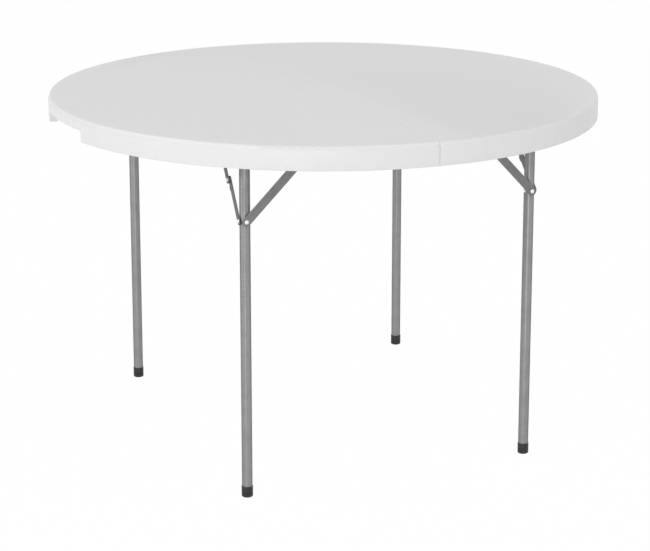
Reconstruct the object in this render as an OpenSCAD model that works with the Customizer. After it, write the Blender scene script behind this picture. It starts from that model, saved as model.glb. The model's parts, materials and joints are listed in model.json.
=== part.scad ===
// Round folding table, folded in half at a seam, on four legs that fold under it.
// X is square to the seam, Y runs along it, Z is up. The origin is on the floor under the seam's middle.

/* [Top] */
// Diameter of the round top
top_d = 1220; // [1000:10:1400]
// Height of the top's upper face above the floor
table_h = 760; // [700:5:800]
// Depth of the skirt round the rim
skirt_h = 50; // [48:1:60]
// Thickness of the hollow panel inside the skirt
panel_t = 18; // [16:0.5:20]
// Thickness of the hollow rim and of the wall beside the seam
rim_t = 18; // [16:0.5:24]
// Wall of the blow moulding
skin_t = 3; // [2:0.25:3.5]
// Width of the gap between the two halves at the seam
seam_gap = 1; // [0.6:0.1:2]

/* [Rim] */
// Radius of the rim's upper shoulder
shoulder_r = 6; // [4:0.5:8]
// Depth of the fine ledge below the top's upper face
ledge_drop = 8; // [7.5:0.25:10]
// Width of the ledge, and rounding of its edge
ledge_w = 1.2; // [0.6:0.2:2]
// Chamfer of the skirt's lower edge
hem = 1.5; // [0.5:0.25:3]
// Chamfer of the top along the seam
seam_chamfer = 1; // [0.4:0.2:2]

/* [Handholds] */
// Length of the handhold cut in each half's rim
handhold_w = 230; // [120:5:280]
// Depth of the handhold cut in the skirt
handhold_h = 25; // [15:1:27]
// Rounding of the handhold's upper corners
handhold_r = 8; // [3:1:12]

/* [Tack-offs] */
// Spacing of the tack-off dimples under the panel
dimple_pitch = 84; // [70:2:120]
// Mouth of a dimple
dimple_d = 30; // [16:1:36]
// Depth of a dimple
dimple_h = 12; // [8:0.5:13]

/* [Legs] */
// Outer diameter of a leg tube
leg_d = 22; // [20:0.5:22.5]
// Wall of a leg tube
leg_wall = 1.2; // [1:0.1:2]
// Depth of the leg axles below the top's upper face
axle_drop = 32; // [31.5:0.1:32.5]

/* [Leg places] */
// Distance of the front left leg from the seam
front_left_x = 357.5; // [357:0.5:358.5]
// Distance of the front left leg from the middle, along the seam
front_left_y = 446; // [445:0.5:447]
// Turn of the front left leg's fold plane, which brings its folded foot nearer the seam
front_left_turn = 5; // [4.75:0.25:5.25]
// Distance of the front right leg from the seam
front_right_x = 298.5; // [297.5:0.5:299.5]
// Distance of the front right leg from the middle, along the seam
front_right_y = 426.5; // [425.5:0.5:427.5]
// Turn of the front right leg's fold plane, which brings its folded foot nearer the seam
front_right_turn = 3; // [2.75:0.25:3.25]
// Distance of the back right leg from the seam
back_right_x = 376; // [375:0.5:377]
// Distance of the back right leg from the middle, along the seam
back_right_y = 427; // [426.5:0.5:428]
// Turn of the back right leg's fold plane, which brings its folded foot nearer the rim
back_right_turn = 5.5; // [5.25:0.25:5.75]
// Distance of the back left leg from the seam
back_left_x = 309.5; // [309:0.5:310]
// Distance of the back left leg from the middle, along the seam
back_left_y = 421.5; // [421:0.5:422]
// Turn of the back left leg's fold plane, which brings its folded foot nearer the rim
back_left_turn = 5.5; // [5.25:0.25:5.75]

/* [Axles] */
// Outer diameter of an axle tube
axle_d = 25; // [23.5:0.5:25.5]
// Wall of an axle tube
axle_wall = 1.5; // [1:0.1:2.5]
// Reach of an axle past its leg, towards the rim
axle_out = 14; // [12.5:0.5:15]
// Reach of an axle past its leg, towards the seam
axle_in = 172; // [168:1:180]

/* [Struts] */
// Width of the flat strut between leg and axle
strut_w = 18; // [14:0.5:19]
// Thickness of the strut
strut_t = 2.5; // [1.5:0.25:2.75]
// Distance of the strut's leg rivet below the axle
strut_drop = 134; // [130:1:140]
// Distance of the strut's axle rivet from the leg
strut_run = 128; // [120:1:130]

/* [Braces] */
// Distance of the brace's leg rivet below the axle
brace_drop = 134; // [130:1:137]
// Distance of the brace's anchor from the axle
brace_run = 120; // [116:1:122]
// Width of a brace link
link_w = 16; // [13:0.5:17]
// Thickness of a brace link
link_t = 2.5; // [2:0.25:2.75]
// Gap between the lower and the upper link
link_gap = 2.2; // [2:0.05:2.6]

/* [Rivets] */
// Diameter of the rivets' shanks
rivet_d = 6; // [4:0.25:6.5]
// Diameter of the rivets' heads
head_d = 9; // [7.5:0.25:10]
// Height of the rivets' heads
head_h = 2; // [1.2:0.1:2]

/* [Foot caps] */
// Outer diameter of a foot cap
cap_d = 24; // [23.4:0.1:24.2]
// Height of a foot cap
cap_h = 24; // [16:1:40]
// Thickness of a cap's sole
cap_floor = 4; // [2:0.5:8]
// Rounding of a cap's lower edge
cap_r = 3.5; // [1:0.5:5]
// Chamfer of a cap's upper edge
cap_lip = 0.6; // [0.2:0.1:0.8]

/* [Axle clips] */
// Width of a clip's strap
clip_w = 18; // [12:1:20]
// Thickness of the clip's sheet
clip_t = 1.5; // [1:0.25:2]
// Reach of a clip's feet from the axle
clip_reach = 34; // [31:1:40]
// Place of the clip nearer the leg
clip_near = 36; // [30:1:50]
// Place of the clip nearer the seam
clip_far = 158; // [154:1:160]

/* [Hinges] */
// Distance of the two hinges from the middle
hinge_y = 300; // [200:5:400]
// Length of a hinge
hinge_l = 66; // [48:3:90]
// Radius of the hinge barrel
barrel_r = 5; // [4.5:0.25:6]
// Diameter of the hinge pin
pin_d = 5; // [3.5:0.25:5.5]
// Thickness of the hinge leaves
leaf_t = 2; // [1.5:0.25:2.5]
// Height of a leaf's upright flange
leaf_h = 27; // [22:1:29]

/* [Screws] */
// Diameter of the screws' shanks
screw_d = 4.2; // [3.5:0.1:5]
// Diameter of the screws' heads
screw_head_d = 8.5; // [7:0.25:9]
// Height of the screws' heads
screw_head_h = 2.2; // [1.5:0.1:2.6]
// Length of the screws under the head
screw_l = 12; // [8:0.5:13]

/* [Clearances] */
// Running clearance on a radius
run_gap = 0.1; // [0.05:0.05:0.2]
// Clearance of a screw or rivet in its hole, on the diameter
hole_gap = 0.1; // [0.05:0.05:0.3]
// Clearance between faces that slide past each other
face_gap = 0.3; // [0.2:0.05:0.5]

/* [Hidden] */
$fn = 64;

// Overrun of every cut past the face it starts from
cut = 1;

// Heights of the top's faces, and of the axles and the seam's hinge axis
top_r = top_d / 2;
skirt_z = table_h - skirt_h;
panel_z = table_h - panel_t;
axle_z = table_h - axle_drop;
rim_in_r = top_r - rim_t;
seam_x = seam_gap / 2;
wall_x = seam_x + rim_t;
fold_z = skirt_z - seam_gap / 2;

// The leg places are given on a top of this radius, and move in or out with the rim of another
plan_r = 610;
plan_share = top_r / plan_r;

// Each leg's place, its mirroring and the turn of its fold plane: no two folding legs meet on the way
front_left = [-front_left_x * plan_share, -front_left_y * plan_share, 0, 0, -front_left_turn];
front_right = [front_right_x * plan_share, -front_right_y * plan_share, 1, 0, front_right_turn];
back_right = [back_right_x * plan_share, back_right_y * plan_share, 1, 1, back_right_turn];
back_left = [-back_left_x * plan_share, back_left_y * plan_share, 0, 1, -back_left_turn];
left_legs = [front_left, back_left];
right_legs = [front_right, back_right];

// Layers of a brace, outwards from the leg
leg_r = leg_d / 2;
lower_x = -leg_r - face_gap - run_gap;
upper_x = lower_x - link_t - link_gap;
anchor_x = upper_x - link_t - face_gap;
anchor_t = link_t;

// The brace is straight at rest, and lies along the folded leg
brace_l = sqrt(pow(brace_drop, 2) + pow(brace_run, 2));
lower_l = (brace_l + brace_drop - brace_run) / 2;
upper_l = brace_l - lower_l;
brace_a = atan2(brace_run, brace_drop);

// The strut lies against the axle's front
strut_y = -axle_d / 2;
strut_a = atan2(strut_run, strut_drop);
strut_l = sqrt(pow(strut_run, 2) + pow(strut_drop, 2));
strut_seat = axle_d / 2 - leg_r;

// A bush fills the space between the axle and its clip, up to the panel
bush_in_r = axle_d / 2 + run_gap;
bush_out_r = axle_drop - panel_t - hole_gap / 2;
bush_w = clip_w + 2 * clip_t;
clip_in_r = bush_out_r + hole_gap / 2;
clip_out_r = clip_in_r + clip_t;
clip_screw_y = (clip_out_r + clip_reach) / 2;

// The anchor's foot is screwed to the panel, outside its ear
anchor_foot = 26;
anchor_w = 30;
anchor_screw = anchor_foot - screw_head_d / 2 - clip_t;

// Reach of the solid plastic above a clip
pad_w = 2 * (clip_reach + skin_t);

// Hinge leaf: a flange under the seam wall and one up its inner face
knuckle_l = hinge_l / 3;
leaf_x = wall_x + leaf_t;
leaf_screw_share = 0.6;
leaf_screw_z = skirt_z + leaf_h * leaf_screw_share;
leaf_screw_dy = hinge_l / 2 - screw_head_d;
pocket_r = barrel_r + 4 * face_gap;
pocket_l = hinge_l + 2 * head_h + 4 * face_gap;

// A leg's place in the table: right legs are mirrored across, back legs are mirrored along
module at_leg(leg) {
    translate([leg[0], leg[1], axle_z])
        rotate([0, 0, leg[4]])
            mirror([leg[2], 0, 0])
                mirror([0, leg[3], 0])
                    children();
}

// The right half is modelled, and the left one is the same turned half round
module at_half(left) {
    rotate([0, 0, left ? 180 : 0])
        children();
}

module along_x(length, d) {
    rotate([0, 90, 0])
        cylinder(h = length, d = d);
}

module along_y(length, d) {
    rotate([-90, 0, 0])
        cylinder(h = length, d = d);
}

// A domed head that stands on z = 0
module dome(d, h) {
    ball_r = (pow(d / 2, 2) + pow(h, 2)) / (2 * h);
    intersection() {
        translate([0, 0, h - ball_r])
            sphere(r = ball_r);
        cylinder(h = h, d = d);
    }
}

// Half of a disc, from one height to another, beside the seam
module half_disc(r, x, low, high) {
    intersection() {
        translate([0, 0, low])
            cylinder(h = high - low, r = r, $fn = 180);
        translate([x, -r, low])
            cube([r, 2 * r, high - low]);
    }
}

// Section of the rim: a rounded shoulder, a fine ledge under it and a chamfered hem
module rim_section() {
    shoulder_z = table_h - shoulder_r;
    ledge_z = table_h - ledge_drop - ledge_w;
    polygon([
        [0, skirt_z],
        [top_r - hem, skirt_z],
        [top_r, skirt_z + hem],
        [top_r, ledge_z],
        [top_r - ledge_w, ledge_z],
        [top_r - ledge_w, shoulder_z],
        [0, shoulder_z]
    ]);
    translate([0, shoulder_z])
        square([top_r - ledge_w - shoulder_r, shoulder_r]);
    translate([top_r - ledge_w - shoulder_r, shoulder_z])
        circle(r = shoulder_r);
    translate([top_r - ledge_w, ledge_z])
        circle(r = ledge_w);
}

module handhold_section(grow) {
    w = handhold_w + 2 * grow;
    h = handhold_h + grow;
    r = handhold_r + grow;
    translate([-w / 2, -cut])
        square([w, h - r + cut]);
    translate([r - w / 2, -cut])
        square([w - 2 * r, h + cut]);
    for (side = [-1, 1])
        translate([side * (w / 2 - r), h - r])
            circle(r = r);
}

// The handhold through the rim, with its section square to the X axis
module handhold(grow) {
    translate([rim_in_r - rim_t - grow, 0, skirt_z])
        rotate([90, 0, 90])
            linear_extrude(height = 3 * rim_t + 2 * grow)
                handhold_section(grow);
}

// Solid places in the hollow panel, above the clips and the anchor of one leg
module leg_pads(leg) {
    at_leg(leg)
        translate([0, 0, axle_drop - panel_t]) {
            for (x = [clip_near, clip_far])
                translate([x - clip_w / 2, -pad_w / 2, 0])
                    cube([clip_w, pad_w, panel_t]);
            translate([anchor_x - anchor_foot, brace_run - anchor_w / 2, 0])
                cube([anchor_foot, anchor_w, panel_t]);
        }
}

// Where a dimple would meet a clip or an anchor, there is none
function leg_point(leg, px, py) =
    let (u = leg[2] == 1 ? -px : px, v = leg[3] == 1 ? -py : py)
        [leg[0] + u * cos(leg[4]) - v * sin(leg[4]), leg[1] + u * sin(leg[4]) + v * cos(leg[4])];
function foot_clear(leg, x, y, px, py) =
    norm([x, y] - leg_point(leg, px, py)) > dimple_d / 2 + clip_reach;
function dimple_fits(legs, x, y) =
    norm([x, y]) < rim_in_r - dimple_d
    && min([for (leg = legs) min(
        foot_clear(leg, x, y, clip_near, 0) ? 1 : 0,
        foot_clear(leg, x, y, clip_far, 0) ? 1 : 0,
        foot_clear(leg, x, y, anchor_x - anchor_foot / 2, brace_run) ? 1 : 0)]) == 1;

module at_dimples(legs) {
    columns = floor(top_r / dimple_pitch);
    for (i = [0 : columns], j = [-columns : columns]) {
        x = wall_x + dimple_pitch * (i + 0.5);
        y = dimple_pitch * (j + (i % 2) / 2);
        if (dimple_fits(legs, x, y))
            translate([x, y, panel_z - cut])
                children();
    }
}

module dimple(h, grow) {
    cylinder(h = h + cut, d1 = dimple_d + 2 * grow, d2 = dimple_d / 2 + 2 * grow);
}

// The hollow between the moulding's two skins, in the panel, the rim and the seam wall
module hollow(legs) {
    difference() {
        union() {
            half_disc(rim_in_r + skin_t, seam_x + skin_t, panel_z + skin_t, table_h - skin_t);
            difference() {
                half_disc(top_r - skin_t - ledge_w, seam_x + skin_t, skirt_z + skin_t,
                    table_h - shoulder_r - skin_t);
                half_disc(rim_in_r + skin_t, wall_x - skin_t, skirt_z, table_h);
            }
        }
        at_dimples(legs)
            dimple(panel_t, skin_t);
        handhold(skin_t);
        for (leg = legs)
            leg_pads(leg);
        for (side = [-1, 1])
            translate([0, side * hinge_y - pocket_l / 2 - skin_t, skirt_z])
                cube([wall_x + skin_t, pocket_l + 2 * skin_t, skirt_h - skin_t]);
    }
}

module hinge_pocket(side) {
    translate([0, side * hinge_y, 0]) {
        translate([0, -pocket_l / 2, fold_z])
            along_y(pocket_l, 2 * pocket_r);
        translate([0, -hinge_l / 2 - face_gap, skirt_z - cut])
            cube([wall_x + cut, hinge_l + 2 * face_gap, leaf_t + face_gap / 2 + cut]);
    }
}

module leaf_screw_places() {
    for (side = [-1, 1], dy = [-1, 1])
        translate([leaf_x, side * hinge_y + dy * leaf_screw_dy, leaf_screw_z])
            rotate([0, -90, 0])
                children();
}

// Screws of one leg's clips and anchor, with z = 0 where the head seats
module panel_screw_places(leg) {
    at_leg(leg) {
        for (x = [clip_near, clip_far], side = [-1, 1])
            translate([x, side * clip_screw_y, axle_drop - panel_t - clip_t])
                children();
        for (side = [-1, 1])
            translate([anchor_x - anchor_screw, brace_run + side * anchor_w / 4, axle_drop - panel_t - clip_t])
                children();
    }
}

module half_top(legs) {
    difference() {
        intersection() {
            rotate_extrude($fn = 180)
                rim_section();
            translate([seam_x, -top_d, 0])
                cube([top_d, 2 * top_d, 2 * table_h]);
        }
        half_disc(rim_in_r, wall_x, skirt_z - cut, panel_z);
        hollow(legs);
        at_dimples(legs)
            dimple(dimple_h, 0);
        handhold(0);
        translate([seam_x, -top_d, table_h])
            rotate([0, 45, 0])
                translate([-seam_chamfer / sqrt(2), 0, -seam_chamfer / sqrt(2)])
                    cube([sqrt(2) * seam_chamfer, 2 * top_d, sqrt(2) * seam_chamfer]);
        for (side = [-1, 1])
            hinge_pocket(side);
        leaf_screw_places()
            screw_hole();
        for (leg = legs)
            panel_screw_places(leg)
                screw_hole();
    }
}

module screw_hole() {
    cylinder(h = screw_l + hole_gap, d = screw_d + hole_gap);
}

module screw() {
    cylinder(h = screw_l, d = screw_d);
    rotate([180, 0, 0])
        dome(screw_head_d, screw_head_h);
}

// The right half's legs, seen from the left half turned half round
function turned(leg) = [-leg[0], -leg[1], 1 - leg[2], 1 - leg[3], leg[4]];

module left_top() {
    color("whitesmoke")
        at_half(true)
            half_top([for (leg = left_legs) turned(leg)]);
}

module right_top() {
    color("whitesmoke")
        at_half(false)
            half_top(right_legs);
}

// Knuckles stand at the ends of the left leaf and in the middle of the right one
module hinge_leaf(outer) {
    places = outer ? [-1, 1] : [0];
    difference() {
        union() {
            translate([0, -hinge_l / 2, 0]) {
                translate([pocket_r, 0, skirt_z])
                    cube([leaf_x - pocket_r, hinge_l, leaf_t]);
                translate([wall_x, 0, skirt_z])
                    cube([leaf_t, hinge_l, leaf_h]);
            }
            for (k = places)
                translate([0, k * knuckle_l - knuckle_l / 2 + face_gap / 2, 0]) {
                    translate([0, 0, fold_z])
                        along_y(knuckle_l - face_gap, 2 * barrel_r);
                    translate([0, 0, skirt_z])
                        cube([pocket_r + cut, knuckle_l - face_gap, leaf_t]);
                }
        }
        translate([0, -hinge_l / 2 - cut, fold_z])
            along_y(hinge_l + 2 * cut, pin_d + 2 * run_gap);
        for (dy = [-1, 1])
            translate([wall_x - cut, dy * leaf_screw_dy, leaf_screw_z])
                along_x(leaf_t + 2 * cut, screw_d + hole_gap);
    }
}

module left_hinge_leaves() {
    color("silver")
        at_half(true)
            for (side = [-1, 1])
                translate([0, side * hinge_y, 0])
                    hinge_leaf(true);
}

module right_hinge_leaves() {
    color("silver")
        for (side = [-1, 1])
            translate([0, side * hinge_y, 0])
                hinge_leaf(false);
}

module hinge_pins() {
    head = barrel_r - run_gap;
    color("gainsboro")
        for (side = [-1, 1])
            translate([0, side * hinge_y, fold_z]) {
                translate([0, -hinge_l / 2 - face_gap, 0])
                    along_y(hinge_l + 2 * face_gap, pin_d);
                for (turn = [0, 180])
                    rotate([0, 0, turn])
                        translate([0, hinge_l / 2 + face_gap, 0])
                            rotate([-90, 0, 0])
                                dome(2 * head, head_h);
            }
}

module left_hinge_screws() {
    color("gainsboro")
        at_half(true)
            leaf_screw_places()
                screw();
}

module right_hinge_screws() {
    color("gainsboro")
        leaf_screw_places()
            screw();
}

// A strap bent over the bush, with two feet screwed to the panel
module axle_clip() {
    up = axle_drop - panel_t;
    rotate([90, 0, 90])
        translate([0, 0, -clip_w / 2])
            linear_extrude(height = clip_w)
                difference() {
                    union() {
                        circle(r = clip_out_r);
                        translate([-clip_out_r, 0])
                            square([2 * clip_out_r, up]);
                        translate([-clip_reach, up - clip_t])
                            square([2 * clip_reach, clip_t]);
                    }
                    circle(r = clip_in_r);
                    translate([-clip_in_r, 0])
                        square([2 * clip_in_r, up + cut]);
                    translate([-clip_reach - cut, up])
                        square([2 * clip_reach + 2 * cut, clip_out_r]);
                }
}

module leg_clips(leg) {
    difference() {
        at_leg(leg)
            for (x = [clip_near, clip_far])
                translate([x, 0, 0])
                    axle_clip();
        panel_screw_places(leg)
            translate([0, 0, -cut])
                cylinder(h = clip_t + 2 * cut, d = screw_d + hole_gap);
    }
}

module left_axle_clips() {
    color("silver")
        for (leg = left_legs)
            leg_clips(leg);
}

module right_axle_clips() {
    color("silver")
        for (leg = right_legs)
            leg_clips(leg);
}

// A plastic ring in the clip, in which the axle turns
module axle_bush() {
    translate([-bush_w / 2, 0, 0])
        difference() {
            along_x(bush_w, 2 * bush_out_r);
            translate([-cut, 0, 0])
                along_x(bush_w + 2 * cut, 2 * bush_in_r);
        }
}

module leg_bushes(leg) {
    at_leg(leg)
        for (x = [clip_near, clip_far])
            translate([x, 0, 0])
                axle_bush();
}

module left_axle_bushes() {
    color("dimgray")
        for (leg = left_legs)
            leg_bushes(leg);
}

module right_axle_bushes() {
    color("dimgray")
        for (leg = right_legs)
            leg_bushes(leg);
}

module left_clip_screws() {
    color("gainsboro")
        for (leg = left_legs)
            panel_screw_places(leg)
                screw();
}

module right_clip_screws() {
    color("gainsboro")
        for (leg = right_legs)
            panel_screw_places(leg)
                screw();
}

// A foot on the panel and an ear that carries the upper link
module brace_anchor() {
    up = axle_drop - panel_t;
    translate([anchor_x - anchor_foot, brace_run - anchor_w / 2, up - clip_t])
        cube([anchor_foot, anchor_w, clip_t]);
    translate([anchor_x - anchor_t, brace_run, 0]) {
        along_x(anchor_t, link_w);
        translate([0, -link_w / 2, 0])
            cube([anchor_t, link_w, up]);
    }
}

module leg_anchor(leg) {
    difference() {
        at_leg(leg)
            difference() {
                brace_anchor();
                translate([anchor_x - anchor_t - cut, brace_run, 0])
                    along_x(anchor_t + 2 * cut, rivet_d + hole_gap);
            }
        panel_screw_places(leg)
            translate([0, 0, -cut])
                cylinder(h = clip_t + 2 * cut, d = screw_d + hole_gap);
    }
}

module left_brace_anchors() {
    color("silver")
        for (leg = left_legs)
            leg_anchor(leg);
}

module right_brace_anchors() {
    color("silver")
        for (leg = right_legs)
            leg_anchor(leg);
}

// The anchor's rivet runs through the ear and the upper link
module anchor_rivet() {
    outer = anchor_x - anchor_t;
    translate([outer, brace_run, 0]) {
        along_x(upper_x + run_gap - outer, rivet_d);
        rotate([0, -90, 0])
            dome(head_d, head_h);
    }
    translate([upper_x + run_gap, brace_run, 0])
        rotate([0, 90, 0])
            dome(head_d, link_gap - 2 * run_gap);
}

module left_anchor_rivets() {
    color("white")
        for (leg = left_legs)
            at_leg(leg)
                anchor_rivet();
}

module right_anchor_rivets() {
    color("white")
        for (leg = right_legs)
            at_leg(leg)
                anchor_rivet();
}

// The leg's top is cut to sit on the axle, and its rivet holes are drilled
module leg_tube(leg) {
    foot = table_h - axle_drop - cap_floor;
    color("darkgray")
        at_leg(leg)
            difference() {
                translate([0, 0, -foot])
                    cylinder(h = foot, d = leg_d);
                translate([0, 0, -foot - cut])
                    cylinder(h = foot + 2 * cut, d = leg_d - 2 * leg_wall);
                translate([-leg_d, 0, 0])
                    along_x(2 * leg_d, axle_d);
                translate([-leg_d, -leg_d, 0])
                    cube([2 * leg_d, 2 * leg_d, leg_d]);
                translate([-leg_d, 0, -brace_drop])
                    along_x(2 * leg_d, rivet_d + hole_gap);
                translate([0, -leg_d, -strut_drop])
                    along_y(leg_d, rivet_d + hole_gap);
            }
}

module axle_tube(leg) {
    color("darkgray")
        at_leg(leg)
            difference() {
                translate([-axle_out, 0, 0])
                    along_x(axle_out + axle_in, axle_d);
                translate([-axle_out - cut, 0, 0])
                    along_x(axle_out + axle_in + 2 * cut, axle_d - 2 * axle_wall);
                translate([strut_run, -axle_d, 0])
                    along_y(axle_d, rivet_d + hole_gap);
            }
}

// A flat bar with round ends, drilled at both, from one hole at the origin along +Z
module bar(length, w, t) {
    difference() {
        union() {
            along_y(t, w);
            translate([0, 0, length])
                along_y(t, w);
            translate([-w / 2, 0, 0])
                cube([w, t, length]);
        }
        for (z = [0, length])
            translate([0, -cut, z])
                along_y(t + 2 * cut, rivet_d + hole_gap);
    }
}

module strut(leg) {
    color("gray")
        at_leg(leg)
            translate([0, strut_y - strut_t, -strut_drop])
                rotate([0, strut_a, 0])
                    bar(strut_l, strut_w, strut_t);
}

// A blind rivet through the strut and a tube's wall, with its bulb inside the tube
module blind_rivet(tube_r, wall) {
    bulb_y = hole_gap - sqrt(pow(tube_r - wall, 2) - pow(head_d / 2, 2));
    translate([0, strut_y - strut_t, 0]) {
        along_y(bulb_y + head_h - strut_y + strut_t, rivet_d);
        rotate([90, 0, 0])
            dome(head_d, head_h);
    }
    translate([0, bulb_y, 0])
        along_y(head_h, head_d);
}

// Blind rivets hold the strut, and a long rivet through the leg carries the brace
module leg_rivets(leg) {
    color("white")
        at_leg(leg) {
            translate([0, 0, -strut_drop]) {
                blind_rivet(leg_r, leg_wall);
                translate([0, strut_y, 0])
                    along_y(strut_seat, head_d);
            }
            translate([strut_run, 0, 0])
                blind_rivet(axle_d / 2, axle_wall);
            translate([lower_x - link_t - run_gap, 0, -brace_drop]) {
                along_x(leg_r - lower_x + link_t + run_gap, rivet_d);
                rotate([0, -90, 0])
                    dome(head_d, link_gap - 2 * run_gap);
            }
            translate([leg_r, 0, -brace_drop])
                rotate([0, 90, 0])
                    dome(head_d, head_h);
        }
}

module cap_section() {
    r = cap_d / 2;
    translate([0, cap_r])
        square([r, cap_h - cap_r - cap_lip]);
    square([r - cap_r, cap_h - cap_lip]);
    translate([r - cap_r, cap_r])
        circle(r = cap_r);
    translate([0, cap_h - cap_lip])
        polygon([[0, 0], [r, 0], [r - cap_lip, cap_lip], [0, cap_lip]]);
}

// A plastic shoe with a socket for the tube and a rounded sole
module foot_cap(leg) {
    color("black")
        at_leg(leg)
            translate([0, 0, axle_drop - table_h])
                difference() {
                    rotate_extrude()
                        cap_section();
                    translate([0, 0, cap_floor])
                        cylinder(h = cap_h, d = leg_d + hole_gap);
                }
}

module bar_x(length, w, t) {
    rotate([0, 0, -90])
        bar(length, w, t);
}

// The lower link has a small stop lug beside its knee end
module lower_link(leg) {
    lug = link_w / 3;
    color("gray")
        at_leg(leg)
            translate([lower_x - link_t, 0, -brace_drop])
                rotate([-brace_a, 0, 0]) {
                    bar_x(lower_l, link_w, link_t);
                    translate([0, link_w / 2 - lug / 2, lower_l - link_w - lug])
                        cube([link_t, lug, 2 * lug]);
                }
}

module upper_link(leg) {
    color("gray")
        at_leg(leg)
            translate([upper_x - link_t, brace_run, 0])
                rotate([180 - brace_a, 0, 0])
                    bar_x(upper_l, link_w, link_t);
}

module at_knee(leg) {
    at_leg(leg)
        translate([0, lower_l * sin(brace_a), lower_l * cos(brace_a) - brace_drop])
            children();
}

// The knee's pivot is in two pieces, one in each link
module knee_rivet(leg) {
    shank = link_t + link_gap - run_gap;
    color("white")
        at_knee(leg)
            translate([lower_x - shank, 0, 0]) {
                along_x(shank, rivet_d);
                along_x(link_gap - 2 * run_gap, head_d);
            }
}

module knee_cap(leg) {
    color("white")
        at_knee(leg)
            translate([upper_x - link_t, 0, 0]) {
                along_x(link_t, rivet_d);
                rotate([0, -90, 0])
                    dome(head_d, head_h);
            }
}

left_top();
right_top();
left_hinge_leaves();
right_hinge_leaves();
hinge_pins();
left_hinge_screws();
right_hinge_screws();
left_axle_clips();
right_axle_clips();
left_axle_bushes();
right_axle_bushes();
left_clip_screws();
right_clip_screws();
left_brace_anchors();
right_brace_anchors();
left_anchor_rivets();
right_anchor_rivets();
leg_tube(front_left);  // front_left_leg_tube
axle_tube(front_left);  // front_left_axle_tube
strut(front_left);  // front_left_strut
leg_rivets(front_left);  // front_left_leg_rivets
foot_cap(front_left);  // front_left_foot_cap
lower_link(front_left);  // front_left_lower_link
upper_link(front_left);  // front_left_upper_link
knee_rivet(front_left);  // front_left_knee_rivet
knee_cap(front_left);  // front_left_knee_cap
leg_tube(front_right);  // front_right_leg_tube
axle_tube(front_right);  // front_right_axle_tube
strut(front_right);  // front_right_strut
leg_rivets(front_right);  // front_right_leg_rivets
foot_cap(front_right);  // front_right_foot_cap
lower_link(front_right);  // front_right_lower_link
upper_link(front_right);  // front_right_upper_link
knee_rivet(front_right);  // front_right_knee_rivet
knee_cap(front_right);  // front_right_knee_cap
leg_tube(back_right);  // back_right_leg_tube
axle_tube(back_right);  // back_right_axle_tube
strut(back_right);  // back_right_strut
leg_rivets(back_right);  // back_right_leg_rivets
foot_cap(back_right);  // back_right_foot_cap
lower_link(back_right);  // back_right_lower_link
upper_link(back_right);  // back_right_upper_link
knee_rivet(back_right);  // back_right_knee_rivet
knee_cap(back_right);  // back_right_knee_cap
leg_tube(back_left);  // back_left_leg_tube
axle_tube(back_left);  // back_left_axle_tube
strut(back_left);  // back_left_strut
leg_rivets(back_left);  // back_left_leg_rivets
foot_cap(back_left);  // back_left_foot_cap
lower_link(back_left);  // back_left_lower_link
upper_link(back_left);  // back_left_upper_link
knee_rivet(back_left);  // back_left_knee_rivet
knee_cap(back_left);  // back_left_knee_cap
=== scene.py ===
import json
import math
import bpy
import bmesh
from mathutils import Matrix, Vector


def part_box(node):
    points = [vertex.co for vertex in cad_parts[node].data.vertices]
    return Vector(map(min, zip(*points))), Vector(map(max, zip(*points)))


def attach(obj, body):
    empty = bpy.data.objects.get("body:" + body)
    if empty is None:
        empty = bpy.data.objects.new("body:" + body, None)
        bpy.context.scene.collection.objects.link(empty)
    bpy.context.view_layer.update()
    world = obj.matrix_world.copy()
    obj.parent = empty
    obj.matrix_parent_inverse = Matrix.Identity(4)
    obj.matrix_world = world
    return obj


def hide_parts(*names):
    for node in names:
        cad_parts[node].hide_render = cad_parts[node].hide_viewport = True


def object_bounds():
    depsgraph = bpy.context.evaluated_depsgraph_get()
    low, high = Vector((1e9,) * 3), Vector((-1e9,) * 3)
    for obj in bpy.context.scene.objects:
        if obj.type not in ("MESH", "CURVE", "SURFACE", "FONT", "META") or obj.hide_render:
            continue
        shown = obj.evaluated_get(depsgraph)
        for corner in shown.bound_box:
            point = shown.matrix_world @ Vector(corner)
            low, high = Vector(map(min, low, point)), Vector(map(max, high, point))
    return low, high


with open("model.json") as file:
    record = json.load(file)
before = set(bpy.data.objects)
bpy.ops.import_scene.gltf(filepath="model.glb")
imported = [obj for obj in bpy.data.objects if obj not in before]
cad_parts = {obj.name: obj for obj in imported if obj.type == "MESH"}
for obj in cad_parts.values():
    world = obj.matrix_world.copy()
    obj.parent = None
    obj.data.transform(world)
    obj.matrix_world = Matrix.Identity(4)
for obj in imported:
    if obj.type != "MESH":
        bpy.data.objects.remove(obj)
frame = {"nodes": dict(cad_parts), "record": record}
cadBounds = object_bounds()
print("frame loaded:", len(frame["nodes"]), "nodes")

legNames = ("front_left", "front_right", "back_right", "back_left")
halfNames = ("left", "right")


# Selection and modifiers

def deselectAll():
    bpy.ops.object.select_all(action="DESELECT")


def pick(piece):
    deselectAll()
    piece.select_set(True)
    bpy.context.view_layer.objects.active = piece


def editAll(piece):
    pick(piece)
    bpy.ops.object.mode_set(mode="EDIT")
    bpy.ops.mesh.select_all(action="SELECT")


def leaveEdit():
    bpy.ops.object.mode_set(mode="OBJECT")


def applyModifier(piece, kind, **settings):
    pick(piece)
    modifier = piece.modifiers.new(kind.title(), kind)
    for key, value in settings.items():
        setattr(modifier, key, value)
    bpy.ops.object.modifier_apply(modifier=modifier.name)


def applyPlace(piece):  # the place goes into the mesh, and the object sits at the origin
    pick(piece)
    bpy.ops.object.transform_apply(location=True, rotation=True, scale=True)


def smooth(piece, degrees):
    pick(piece)
    bpy.ops.object.shade_smooth_by_angle(angle=math.radians(degrees))


def joined(pieces, name):
    deselectAll()
    for piece in pieces:
        piece.select_set(True)
    bpy.context.view_layer.objects.active = pieces[0]
    if len(pieces) > 1:
        bpy.ops.object.join()
    pieces[0].name = name
    pieces[0].data.name = name
    return pieces[0]


# Welded copies of the frame's own pieces

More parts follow.
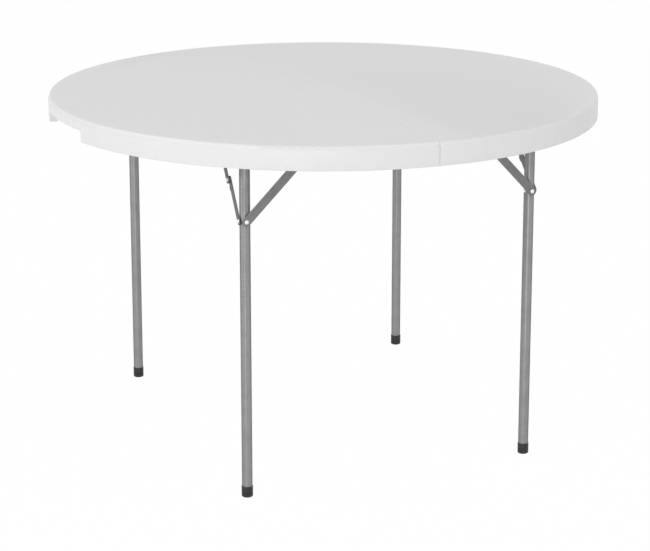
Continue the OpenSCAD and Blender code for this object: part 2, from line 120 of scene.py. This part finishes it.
weld = {
    "distance": 0.000004,
    "flatAngle": 0.4,
}


def weldedCopy(node, name):
    mesh = frame["nodes"][node].data.copy()
    piece = bpy.data.objects.new(name, mesh)
    mesh.name = name
    bpy.context.scene.collection.objects.link(piece)
    mesh.materials.clear()
    editAll(piece)
    bpy.ops.mesh.customdata_custom_splitnormals_clear()
    bpy.ops.mesh.remove_doubles(threshold=weld["distance"])
    bpy.ops.mesh.dissolve_limited(angle_limit=math.radians(weld["flatAngle"]))
    leaveEdit()
    return piece


def islands(mesh):  # the points of each separate skin of a mesh
    waiting = set(mesh.verts)
    groups = []
    while waiting:
        heap = [waiting.pop()]
        members = []
        while heap:
            vert = heap.pop()
            members.append(vert)
            for edge in vert.link_edges:
                other = edge.other_vert(vert)
                if other in waiting:
                    waiting.remove(other)
                    heap.append(other)
        groups.append(members)
    return groups


def solidBoxes(node, turn=None):  # lowest and highest corner of every separate solid of a node
    mesh = bmesh.new()
    mesh.from_mesh(frame["nodes"][node].data)
    if turn:
        mesh.transform(turn)
    bmesh.ops.remove_doubles(mesh, verts=mesh.verts, dist=weld["distance"])
    boxes = []
    for members in islands(mesh):
        low = Vector([min(vert.co[i] for vert in members) for i in range(3)])
        high = Vector([max(vert.co[i] for vert in members) for i in range(3)])
        boxes.append((low, high))
    mesh.free()
    return sorted(boxes, key=lambda box: tuple(round(value, 5) for value in box[0]))


# Shader maths

class Sock:  # a node socket that takes part in sums
    def __init__(self, tree, socket):
        self.tree = tree
        self.socket = socket

    def math(self, operation, *others):
        inputs = {0: self, **dict(enumerate(others, 1))}
        return makeNode(self.tree, "ShaderNodeMath", {"operation": operation}, inputs)

    def __add__(self, other):
        return self.math("ADD", other)

    def __radd__(self, other):
        return self.math("ADD", other)

    def __sub__(self, other):
        return self.math("SUBTRACT", other)

    def __rsub__(self, other):
        return makeNode(self.tree, "ShaderNodeMath", {"operation": "SUBTRACT"}, {0: other, 1: self})

    def __mul__(self, other):
        return self.math("MULTIPLY", other)

    def __rmul__(self, other):
        return self.math("MULTIPLY", other)


def makeNode(tree, kind, settings=None, inputs=None, output=0):
    node = tree.nodes.new(kind)
    for key, value in (settings or {}).items():
        setattr(node, key, value)
    for key, value in (inputs or {}).items():
        socket = node.inputs[key]
        if isinstance(value, Sock):
            tree.links.new(value.socket, socket)
        else:
            socket.default_value = value
    return Sock(tree, node.outputs[output]) if node.outputs else None


def emptyTree(owner):  # the cleared nodes of a material or the world
    owner.use_nodes = True
    owner.node_tree.nodes.clear()
    return owner.node_tree


def newMaterial(name, **constants):
    material = bpy.data.materials.new(name)
    tree = emptyTree(material)
    constants = {key.replace("_", " "): value for key, value in constants.items()}
    shader = makeNode(tree, "ShaderNodeBsdfPrincipled", {}, constants)
    makeNode(tree, "ShaderNodeOutputMaterial", {}, {"Surface": shader})
    place = makeNode(tree, "ShaderNodeTexCoord", output="Object")
    return material, shader, place


def feed(shader, **values):
    for key, value in values.items():
        shader.tree.links.new(value.socket, shader.socket.node.inputs[key.replace("_", " ")])


def heightOf(place):
    return makeNode(place.tree, "ShaderNodeSeparateXYZ", {}, {"Vector": place}, output="Z")


def steps(value, low, high):  # 0 below low, 1 above high, smooth between them
    return makeNode(value.tree, "ShaderNodeMapRange", {"interpolation_type": "SMOOTHSTEP"},
                    {"Value": value, "From Min": low, "From Max": high})


def noise(place, scale, detail, roughness=0.5, stretch=None):
    if stretch:
        place = makeNode(place.tree, "ShaderNodeMapping", {}, {"Vector": place, "Scale": stretch})
    return makeNode(place.tree, "ShaderNodeTexNoise", {},
                    {"Vector": place, "Scale": scale, "Detail": detail, "Roughness": roughness})


def mixColours(factor, first, second):  # the node's colour sockets are numbers 6 and 7, and 2 comes out
    first, second = (shade if isinstance(shade, Sock) else (*shade, 1) for shade in (first, second))
    return makeNode(factor.tree, "ShaderNodeMix", {"data_type": "RGBA"},
                    {0: factor, 6: first, 7: second}, output=2)


def bump(height, strength, distance, under=None):
    inputs = {"Strength": strength, "Distance": distance, "Height": height}
    if under:
        inputs["Normal"] = under
    return makeNode(height.tree, "ShaderNodeBump", {}, inputs)


# Finishes. A noise is given by its scale, detail and roughness, a bump by its strength and depth in
# metres, a range by the ends of a smooth step, and a swing is how far the roughness moves

topPlastic = {
    "ior": 1.5,
    "rimColour": (0.825, 0.825, 0.825),
    # the face's darker grey is painted shade, standing in for the shade in its pebble grain
    "faceGrainShadeColour": (0.765, 0.765, 0.765),
    "faceHeight": 0.7597,
    "faceBlend": 0.0002,
    "cloudColour": (0.775, 0.777, 0.78),
    "cloudNoise": (3.0, 3.0),
    "fineNoise": (55.0, 4.0),
    "cloudParts": (0.7, 0.3),
    "cloudRange": (0.35, 0.68),
    "cloudShare": 0.5,
    "roughness": 0.42,
    "fineSwing": 0.12,
    "faceSwing": 0.04,
    "grainScale": 620.0,
    "grainSmoothness": 0.6,
    "grainBump": (0.55, 0.00012),
    "rimNoise": (240.0, 3.0),
    "rimShare": 0.5,
    "waveNoise": (5.0, 1.0),
    "waveBump": (0.5, 0.0012),
}


def whitePlastic():
    v = topPlastic
    material, shader, place = newMaterial("whitePlastic", IOR=v["ior"])
    face = steps(heightOf(place), v["faceHeight"] - v["faceBlend"], v["faceHeight"] + v["faceBlend"])
    clouds = noise(place, *v["cloudNoise"])
    fine = noise(place, *v["fineNoise"])
    cloudPart, finePart = v["cloudParts"]
    cloudy = steps(clouds * cloudPart + fine * finePart, *v["cloudRange"]) * v["cloudShare"]
    plain = mixColours(face, v["rimColour"], v["faceGrainShadeColour"])  # the pebbled face is painted greyer than the rim, a painted shade standing in for the shade in its grain
    feed(shader,
         Base_Color=mixColours(cloudy, plain, v["cloudColour"]),
         Roughness=v["roughness"] + (fine - 0.5) * v["fineSwing"] - face * v["faceSwing"])
    grain = makeNode(place.tree, "ShaderNodeTexVoronoi", {"feature": "SMOOTH_F1"},
                     {"Vector": place, "Scale": v["grainScale"], "Smoothness": v["grainSmoothness"]})
    waves = bump(noise(place, *v["waveNoise"]), *v["waveBump"])
    skin = noise(place, *v["rimNoise"]) * (1 - face) * v["rimShare"] + grain * face
    feed(shader, Normal=bump(skin, *v["grainBump"], waves))
    return material


tubePaint = {
    "ior": 1.5,
    "colour": (0.315, 0.317, 0.32),
    "dustColour": (0.29, 0.291, 0.294),
    "edgeTint": (0.05, 0.05, 0.05, 1.0),
    "metal": 0.75,
    "draw": 0.8,
    "drawTurn": 0.25,
    "dustNoise": (38.0, 4.0),
    "dustRange": (0.4, 0.72),
    "roughness": 0.45,
    "dustSwing": 0.08,
    "scuffNoise": (160.0, 5.0, 0.7),
    "scuffRange": (0.66, 0.78),
    "scuffSwing": 0.1,
    "peelNoise": (900.0, 2.0),
    "peelBump": (0.6, 0.00005),
}

stripPaint = {
    **tubePaint,
    "colour": (0.22, 0.221, 0.224),
    "dustColour": (0.195, 0.195, 0.198),
    "edgeTint": (0.2, 0.2, 0.2, 1.0),
    "metal": 0.5,
    "draw": 0.0,
    "peelBump": (0.6, 0.00006),
}


def powderCoat(name, v):
    material, shader, place = newMaterial(
        name, Metallic=v["metal"], IOR=v["ior"], Specular_Tint=v["edgeTint"],
        Anisotropic=v["draw"], Anisotropic_Rotation=v["drawTurn"])  # drawn tube shines along its length
    dust = noise(place, *v["dustNoise"])
    peel = noise(place, *v["peelNoise"])
    scuffs = noise(place, *v["scuffNoise"])
    feed(shader,
         Base_Color=mixColours(steps(dust, *v["dustRange"]), v["colour"], v["dustColour"]),
         Roughness=(v["roughness"] + (dust - 0.5) * v["dustSwing"]
                    + steps(scuffs, *v["scuffRange"]) * v["scuffSwing"]),
         Normal=bump(peel, *v["peelBump"]))
    return material


zincPlate = {
    "colour": (0.66, 0.665, 0.67),
    "shadeColour": (0.50, 0.51, 0.52),
    "metal": 1.0,
    "spangleScale": 420.0,
    "hazeNoise": (70.0, 4.0),
    "shadeParts": (0.6, 0.4),
    "roughness": 0.33,
    "hazeSwing": 0.2,
    "spangleSwing": 0.08,
    "brushNoise": (300.0, 3.0),
    "brushStretch": (1.0, 9.0, 9.0),
    "brushBump": (0.35, 0.00004),
}

rivetPlate = {
    **zincPlate,
    "colour": (0.93, 0.93, 0.925),
    "shadeColour": (0.82, 0.82, 0.815),
    "metal": 0.6,
    "roughness": 0.26,
}


def plated(name, v):
    material, shader, place = newMaterial(name, Metallic=v["metal"])
    flakes = makeNode(place.tree, "ShaderNodeTexVoronoi", {},
                      {"Vector": place, "Scale": v["spangleScale"]}, output="Color")
    spangle = makeNode(place.tree, "ShaderNodeRGBToBW", {}, {"Color": flakes})
    haze = noise(place, *v["hazeNoise"])
    brushing = noise(place, *v["brushNoise"], stretch=v["brushStretch"])
    hazePart, spanglePart = v["shadeParts"]
    feed(shader,
         Base_Color=mixColours(haze * hazePart + spangle * spanglePart, v["colour"], v["shadeColour"]),
         Roughness=v["roughness"] + (haze - 0.5) * v["hazeSwing"] + (spangle - 0.5) * v["spangleSwing"],
         Normal=bump(brushing, *v["brushBump"]))
    return material


capRubber = {
    "ior": 1.47,
    "colour": (0.016, 0.016, 0.017),
    "wornColour": (0.055, 0.054, 0.052),
    "wornHeight": 0.007,
    "dustNoise": (210.0, 5.0, 0.65),
    "dustRange": (0.42, 0.62),
    "roughness": 0.48,
    "dustSwing": 0.2,
    "wornSwing": 0.15,
    "grainNoise": (1500.0, 2.0),
    "grainBump": (0.5, 0.00005),
}


def blackRubber():
    v = capRubber
    material, shader, place = newMaterial("blackRubber", IOR=v["ior"])
    low = 1 - steps(heightOf(place), 0.0, v["wornHeight"])
    dust = noise(place, *v["dustNoise"])
    grain = noise(place, *v["grainNoise"])
    feed(shader,
         Base_Color=mixColours(low * steps(dust, *v["dustRange"]), v["colour"], v["wornColour"]),
         Roughness=v["roughness"] + (dust - 0.5) * v["dustSwing"] + low * v["wornSwing"],
         Normal=bump(grain, *v["grainBump"]))
    return material


bushNylon = {
    "ior": 1.5,
    "colour": (0.035, 0.035, 0.037),
    "paleColour": (0.05, 0.05, 0.052),
    "hazeNoise": (120.0, 4.0),
    "roughness": 0.5,
    "hazeSwing": 0.2,
    "grainNoise": (800.0, 2.0),
    "grainBump": (0.4, 0.00004),
}


def nylon():
    v = bushNylon
    material, shader, place = newMaterial("bushNylon", IOR=v["ior"])
    haze = noise(place, *v["hazeNoise"])
    feed(shader,
         Base_Color=mixColours(haze, v["colour"], v["paleColour"]),
         Roughness=v["roughness"] + (haze - 0.5) * v["hazeSwing"],
         Normal=bump(noise(place, *v["grainNoise"]), *v["grainBump"]))
    return material


finishes = {
    "top": whitePlastic(),
    "leg": powderCoat("tubePaint", tubePaint),
    "brace": powderCoat("stripPaint", stripPaint),
    "zinc": plated("zincPlate", zincPlate),
    "rivet": plated("rivetPlate", rivetPlate),
    "foot": blackRubber(),
    "bush": nylon(),
}
nodeSlots = {part["node"]: part["material_slot"] for part in frame["record"]["subparts"]}
nodeBodies = {node: body for body, nodes in frame["record"]["behaviour"]["bodies"].items() for node in nodes}


def dress(piece, slot):
    piece.data.materials.clear()
    piece.data.materials.append(finishes[slot])


for node, piece in frame["nodes"].items():
    dress(piece, nodeSlots[node])
print("materials made:", len(finishes))


def standFor(piece, node):  # the piece takes a node's place, body, slot and finish
    dress(piece, nodeSlots[node])
    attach(piece, nodeBodies[node])
    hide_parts(node)


# Top: both halves, welded, without the sealed hollow, and with every edge softened

topEdges = {
    "bevel": 0.0009,
    "bevelAngle": 32.0,
    "segments": 3,
    "smoothAngle": 38.0,
}


def dropSealedHollow(piece):  # the inner skin of the moulding can't be seen
    editAll(piece)
    bpy.ops.mesh.select_all(action="DESELECT")
    mesh = bmesh.from_edit_mesh(piece.data)
    groups = islands(mesh)
    outer = max(groups, key=lambda members: max(vert.co.z for vert in members))
    for members in groups:
        if members is not outer:
            for vert in members:
                vert.select_set(True)
    mesh.select_flush(True)
    bmesh.update_edit_mesh(piece.data)
    bpy.ops.mesh.delete(type="VERT")
    leaveEdit()


def makeTops():
    v = topEdges
    for half in halfNames:
        node = f"{half}_top"
        piece = weldedCopy(node, f"{half}_top_moulding")
        dropSealedHollow(piece)
        applyModifier(piece, "BEVEL", width=v["bevel"], segments=v["segments"], limit_method="ANGLE",
                      angle_limit=math.radians(v["bevelAngle"]), use_clamp_overlap=True)
        smooth(piece, v["smoothAngle"])
        standFor(piece, node)
        print(node, "made:", len(piece.data.polygons), "faces")


makeTops()

# Turned pieces: a profile is drawn point by point and spun round the Z axis

def turnedPiece(name, profile, sides):
    deselectAll()
    bpy.ops.mesh.primitive_plane_add(size=profile[-1][1] - profile[0][1], location=(0, 0, 0))
    piece = bpy.context.object
    piece.name = name
    editAll(piece)
    bpy.ops.mesh.merge(type="CENTER")  # one point is left, which starts the profile
    bpy.ops.transform.translate(value=(profile[0][0], 0, profile[0][1]))
    for (r0, z0), (r1, z1) in zip(profile, profile[1:]):
        bpy.ops.mesh.extrude_region_move(TRANSFORM_OT_translate={"value": (r1 - r0, 0, z1 - z0)})
    bpy.ops.mesh.select_all(action="SELECT")
    bpy.ops.mesh.spin(steps=sides, angle=math.tau, center=(0, 0, 0), axis=(0, 0, 1))
    bpy.ops.mesh.select_all(action="SELECT")
    bpy.ops.mesh.remove_doubles(threshold=weld["distance"])
    bpy.ops.mesh.normals_make_consistent(inside=False)
    leaveEdit()
    return piece


def placing(place, along):  # moves the origin to a place and turns the Z axis along a direction
    turn = Vector((0, 0, 1)).rotation_difference(Vector(along))
    return Matrix.Translation(place) @ turn.to_matrix().to_4x4()


def copied(piece, name, place, along):  # each copy has its own mesh
    copy = bpy.data.objects.new(name, piece.data.copy())
    bpy.context.scene.collection.objects.link(copy)
    copy.data.transform(placing(place, along))
    return copy


def drop(piece):
    bpy.data.objects.remove(piece, do_unlink=True)


# Screws: a pan head with a cross recess, over a shank that tapers to a point

screwShape = {
    "shankRadius": 0.0021,
    "shankLength": 0.012,
    "headShares": ((0.62, 0.97), (0.85, 0.78), (0.97, 0.45), (1.0, 0.15)),  # of its radius and height
    "headLip": 0.0002,
    "recessTurn": 20.0,
    "recessWidth": 0.0011,
    "recessLength": 0.0046,
    "recessDepth": 0.0013,
    "tip": 0.003,
    "tipShare": 0.9,
    "threadPitch": 0.0014,
    "threadDepth": 0.00035,
    "flankShare": 0.3,
    "sides": 28,
    "smoothAngle": 32.0,
}


def screwModel(headR, headH):
    v = screwShape
    shankR = v["shankRadius"]
    shankL = v["shankLength"]
    profile = [(0, -headH)] + [(headR * across, -headH * up) for across, up in v["headShares"]]
    profile += [(headR - v["headLip"], 0), (shankR, 0)]
    flank = v["threadPitch"] * v["flankShare"]
    z = v["threadPitch"] / 2
    while z < shankL - v["tip"]:
        profile += [(shankR, z - flank), (shankR - v["threadDepth"], z), (shankR, z + flank)]
        z += v["threadPitch"]
    profile += [(shankR * v["tipShare"], shankL - v["tip"]), (0, shankL)]
    screw = turnedPiece("screw", profile, v["sides"])
    for turn in (0, 90):
        deselectAll()
        bpy.ops.mesh.primitive_cube_add(size=1, location=(0, 0, -headH))
        cutter = bpy.context.object
        editAll(cutter)
        bpy.ops.transform.resize(value=(v["recessLength"], v["recessWidth"], v["recessDepth"] * 2),
                                 center_override=(0, 0, -headH))
        leaveEdit()
        cutter.rotation_euler = (0, 0, math.radians(turn + v["recessTurn"]))
        applyPlace(cutter)
        applyModifier(screw, "BOOLEAN", object=cutter, operation="DIFFERENCE", solver="EXACT")
        drop(cutter)
    smooth(screw, v["smoothAngle"])
    return screw


def makeScrews():
    for half in halfNames:
        for kind in ("hinge", "clip"):
            node = f"{half}_{kind}_screws"
            boxes = solidBoxes(node)
            low, high = boxes[0]
            size = high - low
            axis = max(range(3), key=lambda i: size[i])
            headR = sorted(size)[0] / 2
            headH = size[axis] - screwShape["shankLength"]
            screw = screwModel(headR, headH)
            copies = []
            for low, high in boxes:
                middle = (low + high) / 2
                if axis == 2:  # the shank points up into the panel
                    along, place = (0, 0, 1), (middle.x, middle.y, low.z + headH)
                elif middle.x < 0:  # the shank points to the seam
                    along, place = (1, 0, 0), (low.x + headH, middle.y, middle.z)
                else:
                    along, place = (-1, 0, 0), (high.x - headH, middle.y, middle.z)
                copies.append(copied(screw, "screw", place, along))
            drop(screw)
            standFor(joined(copies, f"{node}_pan_head"), node)
    print("screws made")


makeScrews()

# Rivets: a blind rivet has a dimple where its pin broke off, and the others are plainly domed

rivetShape = {
    "headHeight": 0.002,
    "shankRadius": 0.003,
    "domeSteps": 7,
    "dimpleRadius": 0.0013,
    "dimpleDepth": 0.0005,
    "dimpleFloor": 0.8,
    "bulbShare": 0.35,
    "bulbFoot": 0.0035,
    "bulbTop": 0.0026,
    "bulbEnd": 0.001,
    "sides": 32,
    "smoothAngle": 40.0,
}


def rivetModel(headR, shankL, blind):  # the head rises below zero, and the tail ends at shankL
    v = rivetShape
    headH = v["headHeight"]
    shankR = v["shankRadius"]
    count = v["domeSteps"]
    ball = (headR * headR + headH * headH) / (2 * headH)
    first = math.asin(headR / ball)
    profile = []
    for i in range(count + 1):
        angle = first * i / count
        r = ball * math.sin(angle)
        if not blind or r > v["dimpleRadius"]:
            profile.append((r, ball - headH - ball * math.cos(angle)))
    if blind:
        top = profile[0][1]
        floor = top + v["dimpleDepth"]
        dimpleR = v["dimpleRadius"]
        profile = [(0, floor), (dimpleR * v["dimpleFloor"], floor), (dimpleR, top)] + profile
    profile[-1] = (headR, 0)
    profile += [(shankR, 0)]
    if blind:
        bulbR = shankR + shankR * v["bulbShare"]
        profile += [(shankR, shankL - v["bulbFoot"]), (bulbR, shankL - v["bulbTop"]),
                    (bulbR, shankL - v["bulbEnd"]), (shankR, shankL), (0, shankL)]
    else:
        profile += [(shankR, shankL - headH), (headR, shankL - headH)]
        profile += [(ball * math.sin(first * i / count), shankL - ball + ball * math.cos(first * i / count))
                    for i in range(count - 1, -1, -1)]
    rivet = turnedPiece("rivet", profile, v["sides"])
    smooth(rivet, v["smoothAngle"])
    return rivet


def legAxes(leg):  # turns the frame's axes into the leg's own: along its axle, along its fold, up
    joint = next(j for j in frame["record"]["behaviour"]["joints"] if j["name"] == f"{leg}_leg_fold")
    along = Vector(joint["axis"]).normalized()
    fold = Vector((0, 0, 1)).cross(along)
    turn = Matrix((along, fold, Vector((0, 0, 1)))).to_4x4()
    return turn @ Matrix.Translation(-Vector(joint["pos_m"]))


def makeLegRivets():
    headH = rivetShape["headHeight"]
    for leg in legNames:
        node = f"{leg}_leg_rivets"
        turn = legAxes(leg)
        back = turn.inverted()
        rivets = []
        for low, high in solidBoxes(node, turn):
            size = high - low
            middle = (low + high) / 2
            if size.x > size.y:  # the long rivet through the leg, with the brace's link on it
                side = 1 if abs(high.x) > abs(low.x) else -1
                model = rivetModel(size.z / 2, size.x - headH, False)
                along = (-side, 0, 0)
                place = Vector((high.x - headH if side > 0 else low.x + headH, middle.y, middle.z))
            else:  # a blind rivet through the strut, with its head outside and its bulb in the tube
                model = rivetModel(size.z / 2, size.y - headH, True)
                along = (0, 1, 0)
                place = Vector((middle.x, low.y + headH, middle.z))
            model.data.transform(back @ placing(place, along))
            rivets.append(model)
        standFor(joined(rivets, f"{node}_domed"), node)
    print("leg rivets made")


makeLegRivets()

# Foot caps: a moulded shoe with a beaded lip, a grip ring above its sole and a tread below

footCap = {
    "lip": ((0.0, 0.0006), (0.00015, 0.00015), (0.00036, 0.0)),  # inwards, and below the top
    "groove": 0.0006,
    "grooveShares": (0.7, 0.4),  # its depth, and half its floor
    "grooveHeights": (0.0085, 0.0105),
    "soleRadius": 0.0035,
    "soleSteps": 6,
    "treadInset": 0.0022,
    "treadDepth": 0.0008,
    "socketFloor": 0.004,
    "wall": 0.00095,
    "sides": 72,
    "smoothAngle": 35.0,
}


def makeFootCaps():
    v = footCap
    for leg in legNames:
        node = f"{leg}_foot_cap"
        low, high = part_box(node)
        r = (high[0] - low[0]) / 2
        h = high[2] - low[2]
        bore = r - v["wall"]
        treadR = r - v["soleRadius"] - v["treadInset"]
        profile = [(0, v["treadDepth"]), (treadR, v["treadDepth"]), (treadR + v["treadDepth"], 0)]
        for i in range(v["soleSteps"] + 1):
            angle = math.radians(90 * i / v["soleSteps"])
            across = r - v["soleRadius"] * (1 - math.sin(angle))
            profile.append((across, v["soleRadius"] * (1 - math.cos(angle))))
        half = v["groove"]
        deep, flat = (half * share for share in v["grooveShares"])
        for z in v["grooveHeights"]:
            profile += [(r, z - half), (r - deep, z - flat), (r - deep, z + flat), (r, z + half)]
        profile += [(r - inward, h - under) for inward, under in v["lip"]]
        profile += [(bore, h), (bore, v["socketFloor"]), (0, v["socketFloor"])]
        cap = turnedPiece(f"{node}_moulded", profile, v["sides"])
        smooth(cap, v["smoothAngle"])
        pick(cap)
        bpy.ops.transform.translate(value=((low[0] + high[0]) / 2, (low[1] + high[1]) / 2, low[2]))
        applyPlace(cap)
        standFor(cap, node)
    print("foot caps made")


makeFootCaps()

# Strip, sheet and tube: welded copies of the frame's pieces with rolled edges

rolledEdges = {
    "strut": {"bevel": 0.0006, "segments": 3},
    "lower_link": {"bevel": 0.0005, "segments": 3},
    "upper_link": {"bevel": 0.0005, "segments": 3},
    "axle_tube": {"bevel": 0.0004, "segments": 3},
    "leg_tube": {"bevel": 0.00025, "segments": 2},
    "knee_cap": {"bevel": 0.0003, "segments": 3},
    "knee_rivet": {"bevel": 0.0002, "segments": 2},
    "axle_clips": {"bevel": 0.0003, "segments": 2},
    "axle_bushes": {"bevel": 0.0004, "segments": 2},
    "brace_anchors": {"bevel": 0.0004, "segments": 2},
    "anchor_rivets": {"bevel": 0.0002, "segments": 2},
    "hinge_leaves": {"bevel": 0.0003, "segments": 2},
    "hinge_pins": {"bevel": 0.0002, "segments": 2},
}

rolledAngles = {
    "bevel": 35.0,
    "smooth": 35.0,
}


def makeRolled():
    for node in list(frame["nodes"]):
        kind = next((kind for kind in rolledEdges if node.endswith(kind)), None)
        if not kind:
            continue
        v = rolledEdges[kind]
        piece = weldedCopy(node, f"{node}_rolled")
        applyModifier(piece, "BEVEL", width=v["bevel"], segments=v["segments"], limit_method="ANGLE",
                      angle_limit=math.radians(rolledAngles["bevel"]), use_clamp_overlap=True)
        smooth(piece, rolledAngles["smooth"])
        standFor(piece, node)
    print("strip, sheet and tube made")


makeRolled()

# Light, floor and camera

studio = {
    "worldStrength": 0.58,
    "floorRadius": 60.0,
    "floorCorners": 96,
    "floorColour": (0.9, 0.9, 0.9),
    "floorGlow": 0.99,
}

lamps = {
    "side": {"turn": -98.0, "rise": 30.0, "reach": 5.0, "size": (3.0, 2.4), "power": 50.0},
    "front": {"turn": -34.0, "rise": 6.0, "reach": 4.6, "size": (1.0, 1.5), "power": 40.0},
    "over": {"turn": 35.0, "rise": 52.0, "reach": 4.0, "size": (3.0, 3.0), "power": 26.0},
}

camera = {
    "place": (-2.007, -4.827, 1.7685),
    "turn": -22.62,
    "tilt": -15.41,
    "lens": 131.8,
    "sensor": 36.0,
    "farthest": 200.0,
}


def seenRays(tree):  # 1 for what the camera sees, by itself or in a glossy or clear surface
    seen = makeNode(tree, "ShaderNodeLightPath", output="Is Camera Ray")
    rays = seen.socket.node.outputs
    for ray in ("Is Glossy Ray", "Is Transmission Ray"):
        seen = seen.math("MAXIMUM", Sock(tree, rays[ray]))
    return seen


def makeFloor():
    v = studio
    deselectAll()
    bpy.ops.mesh.primitive_circle_add(vertices=v["floorCorners"], radius=v["floorRadius"], fill_type="NGON",
                                      location=(0, 0, 0))
    floor = bpy.context.object
    floor.name = "studio_floor"
    material = bpy.data.materials.new("paleFloor")
    tree = emptyTree(material)
    seen = seenRays(tree) * v["floorGlow"]
    diffuse = makeNode(tree, "ShaderNodeBsdfDiffuse", {}, {"Color": (*v["floorColour"], 1)})
    glow = makeNode(tree, "ShaderNodeEmission", {}, {"Color": (1, 1, 1, 1), "Strength": 1.0})
    mixed = makeNode(tree, "ShaderNodeMixShader", {}, {0: seen, 1: diffuse, 2: glow})
    makeNode(tree, "ShaderNodeOutputMaterial", {}, {"Surface": mixed})
    floor.data.materials.append(material)


def makeWorld():
    world = bpy.data.worlds.new("studio")
    bpy.context.scene.world = world
    tree = emptyTree(world)
    base = studio["worldStrength"]
    strength = seenRays(tree) * (1 - base) + base
    back = makeNode(tree, "ShaderNodeBackground", {}, {"Color": (1, 1, 1, 1), "Strength": strength})
    makeNode(tree, "ShaderNodeOutputWorld", {}, {"Surface": back})


def makeLamps():
    target = (cadBounds[0] + cadBounds[1]) / 2
    for name, v in lamps.items():
        turn = math.radians(v["turn"])
        rise = math.radians(v["rise"])
        away = Vector((math.sin(turn) * math.cos(rise), -math.cos(turn) * math.cos(rise), math.sin(rise)))
        data = bpy.data.lights.new(name, "AREA")
        data.shape = "RECTANGLE"
        data.size, data.size_y = v["size"]
        data.energy = v["power"]
        lamp = bpy.data.objects.new(name, data)
        bpy.context.scene.collection.objects.link(lamp)
        lamp.location = target + away * v["reach"]
        lamp.rotation_euler = (-away).to_track_quat("-Z", "Y").to_euler()
        lamp.visible_camera = False


def makeCamera():
    v = camera
    data = bpy.data.cameras.new("camera")
    data.lens = v["lens"]
    data.sensor_width = v["sensor"]
    data.clip_end = v["farthest"]
    eye = bpy.data.objects.new("camera", data)
    bpy.context.scene.collection.objects.link(eye)
    eye.location = v["place"]
    eye.rotation_euler = (math.radians(90 + v["tilt"]), 0, math.radians(v["turn"]))
    bpy.context.scene.camera = eye


makeFloor()
makeWorld()
makeLamps()
makeCamera()
bpy.context.scene.view_settings.view_transform = "Standard"
print("studio made")
